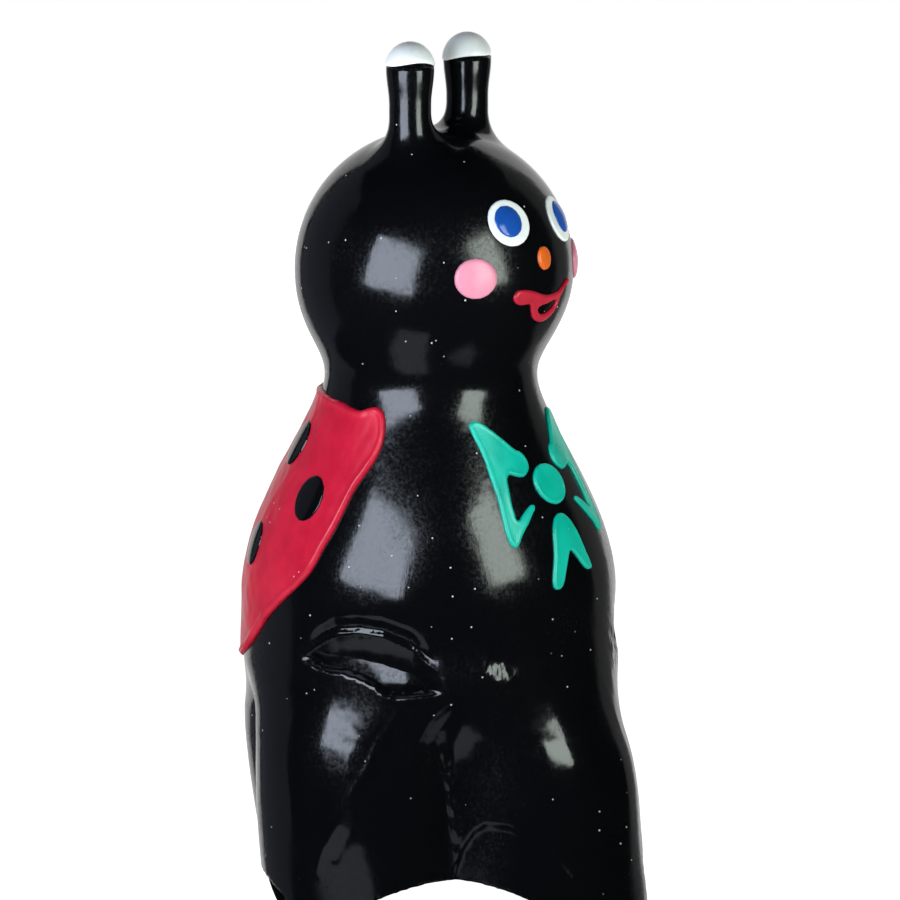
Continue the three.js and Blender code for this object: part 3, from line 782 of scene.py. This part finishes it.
class LADYBIRD_OT_antenna_tips(bpy.types.Operator):
    """Dip the antennae's ends in white paint"""
    bl_idname = "ladybird.antenna_tips"
    bl_label = "Antenna Tips"

    def execute(self, context):
        surface = Surface(context.scene.ladybird_skin)
        paint = context.scene.ladybird_paint
        white = brushed_enamel("enamel_white_dipped", paint.white, 0.3)
        for (hand, side), phase in zip(HANDS, (0.5, 2.2)):
            mesh = self.tip(surface, side, phase)
            new_piece(f"antenna_tip_{hand}_paint", mesh, white, "white_paint", f"antenna_tip_{hand}")
        return {"FINISHED"}

    def tip(self, surface, side, phase):
        """A dome of paint with a drooping lower edge, closed by an underside sunk into the rubber."""
        sides, rings = 72, 28
        turn = np.linspace(0, 2 * math.pi, sides, endpoint=False)
        down, slant, droop = TIP_EDGE
        edge = down + slant * np.cos(turn - phase) + droop * np.cos(2 * turn + phase)
        points = []
        for sheet_lift in (TIP_PAINT, TIP_SUNK):
            for ring in range(rings + 1):
                t = ring / rings
                up = np.clip(1 - edge * t ** 1.6 / ANTENNA_DOME, 0, 1)
                across = np.sqrt(np.maximum(1 - up ** 2, 0))
                past = max(0.0, (t - (1 - TIP_ROLL)) / TIP_ROLL)
                lift = sheet_lift * math.sqrt(max(0.0, 1 - past ** 2)) if sheet_lift > 0 else sheet_lift
                radius = (surface.bulb_radius + lift) * across
                z = ANTENNA_TOP - ANTENNA_DOME + (ANTENNA_DOME + lift) * up
                points.append(np.stack([side * ANTENNA_SPREAD + radius * np.cos(turn),
                                        -ANTENNA_FORWARD + radius * np.sin(turn), z], axis=1))
        layer = (rings + 1) * sides
        faces = []
        for sheet, flip in ((0, False), (layer, True)):
            for ring in range(rings):
                for k in range(sides):
                    a = sheet + ring * sides + k
                    b = sheet + ring * sides + (k + 1) % sides
                    quad = [a, a + sides, b + sides, b]
                    faces.append(quad[::-1] if flip else quad)
        for k in range(sides):
            a, b = rings * sides + k, rings * sides + (k + 1) % sides
            faces.append([a, a + layer, b + layer, b])
        mesh = bpy.data.meshes.new("antenna_tip")
        mesh.from_pydata(to_frame(np.concatenate(points)).tolist(), [], faces)
        return seal(mesh, 0.002)


class LADYBIRD_OT_face(bpy.types.Operator):
    """Paint the eyes, cheeks, nose and mouth"""
    bl_idname = "ladybird.face"
    bl_label = "Face"

    def execute(self, context):
        surface = Surface(context.scene.ladybird_skin)
        paint = context.scene.ladybird_paint
        film = paint.film / MM
        white = brushed_enamel("enamel_white_brushed", paint.white, 0.34)
        blue = brushed_enamel("enamel_blue_dotted", paint.blue, 0.16, brush=0.002)
        pink = brushed_enamel("enamel_pink_dotted", paint.pink, 0.3)
        red = brushed_enamel("enamel_lip_red_brushed", paint.lip_red, 0.3)
        orange = brushed_enamel("enamel_orange_dotted", paint.orange, 0.3)
        dab = film * DAB_SHARE
        for hand, side in HANDS:
            angle, height = angle_and_height(surface, f"eye_white_{hand}")
            # On the upper head the skin leans back, so a round mark is lower than it is wide in height.
            lean = math.sqrt(1 - ((height - surface.head_height) / surface.head_radius) ** 2)
            bend = from_angle(surface, angle)
            ring = oval(EYE_RING[0], EYE_RING[1] * lean, (0, height))
            mark(surface, f"eye_white_{hand}", [ring], bend,
                 rolled(dab, 0.3, uneven=0.02), white, "white_paint")
            dot = oval(IRIS[0], IRIS[1] * lean, (IRIS_SHIFT[0] * side, height + IRIS_SHIFT[1]))
            drop = rolled(0.12, 0.35, crown=0.3, base=dab - 0.02)
            mark(surface, f"iris_{hand}", [dot], bend, drop, blue, "blue_paint", step=0.1)
            angle, height = angle_and_height(surface, f"cheek_{hand}")
            dot = oval(*CHEEK, (LEFT_CHEEK_SHIFT if side > 0 else 0, height))
            mark(surface, f"cheek_{hand}", [dot], from_angle(surface, angle),
                 rolled(dab, 0.45, crown=0.35, uneven=0.03), pink, "pink_paint")
        _, height = angle_and_height(surface, "nose")
        mark(surface, "nose", [oval(*NOSE, (0, height))], from_angle(surface, 0),
             rolled(dab, 0.4, crown=0.2), orange, "orange_paint", step=0.1)
        mouth = [smooth_curve(lifted(line, MOUTH_HEIGHT), True) for line in (LIPS, LIP_GAP)]
        mark(surface, "lips", mouth, from_angle(surface, 0), rolled(film, 0.35, bead=0.05, uneven=0.03),
             red, "lip_red_paint", step=0.09)
        return {"FINISHED"}


class LADYBIRD_OT_bow(bpy.types.Operator):
    """Paint the bow tie: two loops, a knot and the tails"""
    bl_idname = "ladybird.bow"
    bl_label = "Bow Tie"

    def execute(self, context):
        surface = Surface(context.scene.ladybird_skin)
        paint = context.scene.ladybird_paint
        green = brushed_enamel("enamel_green_brushed", paint.green, 0.3)
        film = rolled(paint.film / MM, 0.35, bead=0.05, uneven=0.03)
        bend = from_angle(surface, 0)
        for hand, side in HANDS:
            points = [(-side * x, y + KNOT_HEIGHT) for x, y in BOW_LOOP]
            loop = smooth_curve(points, True, 5)
            mark(surface, f"bow_loop_{hand}", [loop], bend, film, green, "green_paint")
        mark(surface, "bow_knot", [oval(*KNOT, (0, KNOT_HEIGHT))], bend, film, green, "green_paint")
        tails = smooth_curve(lifted(BOW_TAILS, KNOT_HEIGHT), True, 5)
        mark(surface, "bow_tails", [tails], bend, film, green, "green_paint")
        return {"FINISHED"}


class LADYBIRD_OT_wings(bpy.types.Operator):
    """Paint the red wing cases and their black spots"""
    bl_idname = "ladybird.wings"
    bl_label = "Wing Cases"

    def execute(self, context):
        surface = Surface(context.scene.ladybird_skin)
        paint = context.scene.ladybird_paint
        red = brushed_enamel("enamel_wing_red_two_coats", paint.wing_red, 0.33, peel=0.03, brush=0.008)
        black = brushed_enamel("enamel_black_dotted", paint.black, 0.12, brush=0.002)
        thick = paint.wing_film / MM
        across = surface.belly_radius
        for hand, side in HANDS:
            outline = smooth_curve([(math.radians(a) * across, WING_TOP - d) for a, d in WING_EDGE], False)
            low, high = outline[-1][1], outline[0][1]
            z = np.linspace(low, high, 60)
            bottom, top = WING_CORNER_HEIGHTS
            round_off = WING_CORNER * (2 - ease((z - low) / bottom) - ease((high - z) / top))
            seam = (math.pi - SEAM_HALF_WIDTH / surface.radius(z)) * across - round_off
            loop = np.concatenate([outline, np.stack([seam, z], axis=1)])
            mark(surface, f"wing_{hand}", [loop], lambda x, z, s=side: s * x / across,
                 rolled(thick, 0.55, bead=0.16, uneven=0.05, seed=3 + side), red, "wing_red_paint", step=0.2)
            for row in ("upper", "middle", "lower"):
                name = f"wing_spot_{row}_{hand}"
                angle, height = angle_and_height(surface, name)
                spot = oval(*SPOT, (0, height))
                mark(surface, name, [spot], from_angle(surface, angle),
                     rolled(0.1, 0.4, crown=0.12, base=thick + 0.02), black, "black_paint")
        return {"FINISHED"}


FLOOR_RADIUS = 6.0
# Lit upright panels, in metres and degrees.
PANELS = (
    # Name, turn from the camera, height of the middle, distance, width, height, roll, brightness, tint.
    ("softbox_left", -33, 0.098, 0.12, 0.085, 0.082, -12, 7.6, "e2edff"),
    ("softbox_right", 43, 0.104, 0.12, 0.050, 0.080, 12, 7.0, "f2fff6"),
    ("back_wall", 180, 0.12, 0.6, 0.8, 1.0, 0, 0.8, "ffffff"),
    ("left_wall", -118, 0.15, 0.6, 0.5, 1.0, 0, 0.14, "dfe8ff"),
    ("right_wall", 138, 0.15, 0.6, 0.4, 1.0, 0, 0.14, "ffffff"),
)
BOARD_DEPTH = 0.001
# Lit boards just under the floor, in metres.
BOARDS = (
    # Name, distance to the camera's right, distance toward the camera, side, brightness.
    ("board_left", -0.024, 0.052, 0.038, 0.6),
    ("board_right", 0.028, 0.026, 0.028, 0.4),
)


class LADYBIRD_OT_stage(bpy.types.Operator):
    """Make the pale floor, the soft studio lights and the camera"""
    bl_idname = "ladybird.stage"
    bl_label = "Stage"

    azimuth: bpy.props.FloatProperty(
        name="Azimuth", description="Camera's turn from the front, in degrees", default=-52.5)
    elevation: bpy.props.FloatProperty(
        name="Elevation", description="Camera's height above level, in degrees", default=9.0)
    distance: bpy.props.FloatProperty(
        name="Distance", description="Camera's distance", default=2.0, subtype="DISTANCE", unit="LENGTH")
    millimetres_wide: bpy.props.FloatProperty(
        name="View width", description="Width of the view at the figure, in millimetres", default=109.8)
    aim_height: bpy.props.FloatProperty(
        name="Aim height", description="Height it looks at, in millimetres", default=57.4)
    aim_aside: bpy.props.FloatProperty(
        name="Aim aside", description="How far right of the axis it looks, in millimetres", default=2.32)

    def execute(self, context):
        self.floor(context)
        self.camera(context)
        for row in PANELS:
            self.panel(*row)
        for row in BOARDS:
            self.board(*row)
        world = bpy.data.worlds.new("studio")
        context.scene.world = world
        world.use_nodes = True
        world.node_tree.nodes["Background"].inputs[0].default_value = (1, 1, 1, 1)
        world.node_tree.nodes["Background"].inputs[1].default_value = 1.0
        world.cycles_visibility.diffuse = False
        world.cycles_visibility.glossy = False
        context.scene.view_settings.view_transform = "Standard"
        return {"FINISHED"}

    def floor(self, context):
        """A wide round table top level with the figure's feet, which the rubber's gloss doesn't show."""
        disc = bmesh.new()
        bmesh.ops.create_circle(disc, cap_ends=True, radius=FLOOR_RADIUS, segments=96)
        mesh = bpy.data.meshes.new("floor")
        disc.to_mesh(mesh)
        disc.free()
        mesh.materials.append(opal_acrylic())
        floor = bpy.data.objects.new("floor", mesh)
        context.scene.collection.objects.link(floor)
        floor.visible_glossy = False

    def towards(self, turn, elevation):
        """Direction from the figure at a turn from the camera's side and an elevation, in degrees."""
        a, e = math.radians(self.azimuth + turn), math.radians(elevation)
        return Vector((math.sin(a) * math.cos(e), -math.cos(a) * math.cos(e), math.sin(e)))

    def camera(self, context):
        """A long lens whose view is as wide as asked at the figure."""
        data = bpy.data.cameras.new("camera")
        data.sensor_width = 36.0
        data.lens = self.distance / (self.millimetres_wide * MM) * data.sensor_width
        data.dof.use_dof = False
        camera = bpy.data.objects.new("camera", data)
        context.scene.collection.objects.link(camera)
        aim = Vector((0, AXIS_Y * MM, self.aim_height * MM)) + self.towards(90, 0) * self.aim_aside * MM
        back = self.towards(0, self.elevation)
        camera.location = aim + back * self.distance
        camera.rotation_euler = back.to_track_quat("Z", "Y").to_euler()
        context.scene.camera = camera

    def light(self, name, width, height, brightness, tint):
        """A flat lit rectangle that the camera itself doesn't see. Sizes in metres."""
        data = bpy.data.lights.new(name, "AREA")
        data.shape = "RECTANGLE"
        data.size, data.size_y = width, height
        data.energy = brightness * math.pi * width * height
        data.color = linear(tint)
        light = bpy.data.objects.new(name, data)
        bpy.context.scene.collection.objects.link(light)
        light.visible_camera = False
        return light

    def panel(self, name, turn, middle, distance, width, height, roll, brightness, tint):
        """A lit panel that stands upright and faces the figure's axis."""
        light = self.light(name, width, height, brightness, tint)
        away = self.towards(turn, 0)
        light.location = Vector((0, AXIS_Y * MM, middle)) + away * distance
        facing = away.to_track_quat("Z", "Y") @ Quaternion((0, 0, 1), math.radians(roll))
        light.rotation_euler = facing.to_euler()

    def board(self, name, aside, ahead, side, brightness):
        """A small lit board just under the floor, seen only in the parts of the skin that face down."""
        light = self.light(name, side, side, brightness, "dfe8f4")
        middle = Vector((0, AXIS_Y * MM, -BOARD_DEPTH))
        light.location = middle + self.towards(90, 0) * aside + self.towards(0, 0) * ahead
        light.rotation_euler = (math.pi, 0, math.radians(self.azimuth))


class LADYBIRD_PT_panel(bpy.types.Panel):
    """Lists the figure's pieces and their sizes"""
    bl_idname = "LADYBIRD_PT_panel"
    bl_label = "Ladybird Figure"
    bl_space_type = "VIEW_3D"
    bl_region_type = "UI"
    bl_category = "Ladybird"

    def draw(self, context):
        for group in (context.scene.ladybird_skin, context.scene.ladybird_paint):
            box = self.layout.box()
            for name in group.__annotations__:
                box.prop(group, name)
        for operator in OPERATORS:
            self.layout.operator(operator.bl_idname)


OPERATORS = (
    LADYBIRD_OT_stage,
    LADYBIRD_OT_skin,
    LADYBIRD_OT_antenna_tips,
    LADYBIRD_OT_face,
    LADYBIRD_OT_bow,
    LADYBIRD_OT_wings,
)
CLASSES = (LadybirdSkin, LadybirdPaint, *OPERATORS, LADYBIRD_PT_panel)


def register():
    for cls in CLASSES:
        bpy.utils.register_class(cls)
    bpy.types.Scene.ladybird_skin = bpy.props.PointerProperty(type=LadybirdSkin)
    bpy.types.Scene.ladybird_paint = bpy.props.PointerProperty(type=LadybirdPaint)


def unregister():
    del bpy.types.Scene.ladybird_paint
    del bpy.types.Scene.ladybird_skin
    for cls in reversed(CLASSES):
        bpy.utils.unregister_class(cls)


def main():
    register()
    bpy.ops.ladybird.stage()
    bpy.ops.ladybird.skin()
    bpy.ops.ladybird.antenna_tips()
    bpy.ops.ladybird.face()
    bpy.ops.ladybird.bow()
    bpy.ops.ladybird.wings()
    bpy.context.view_layer.update()


if __name__ == "__main__":
    main()
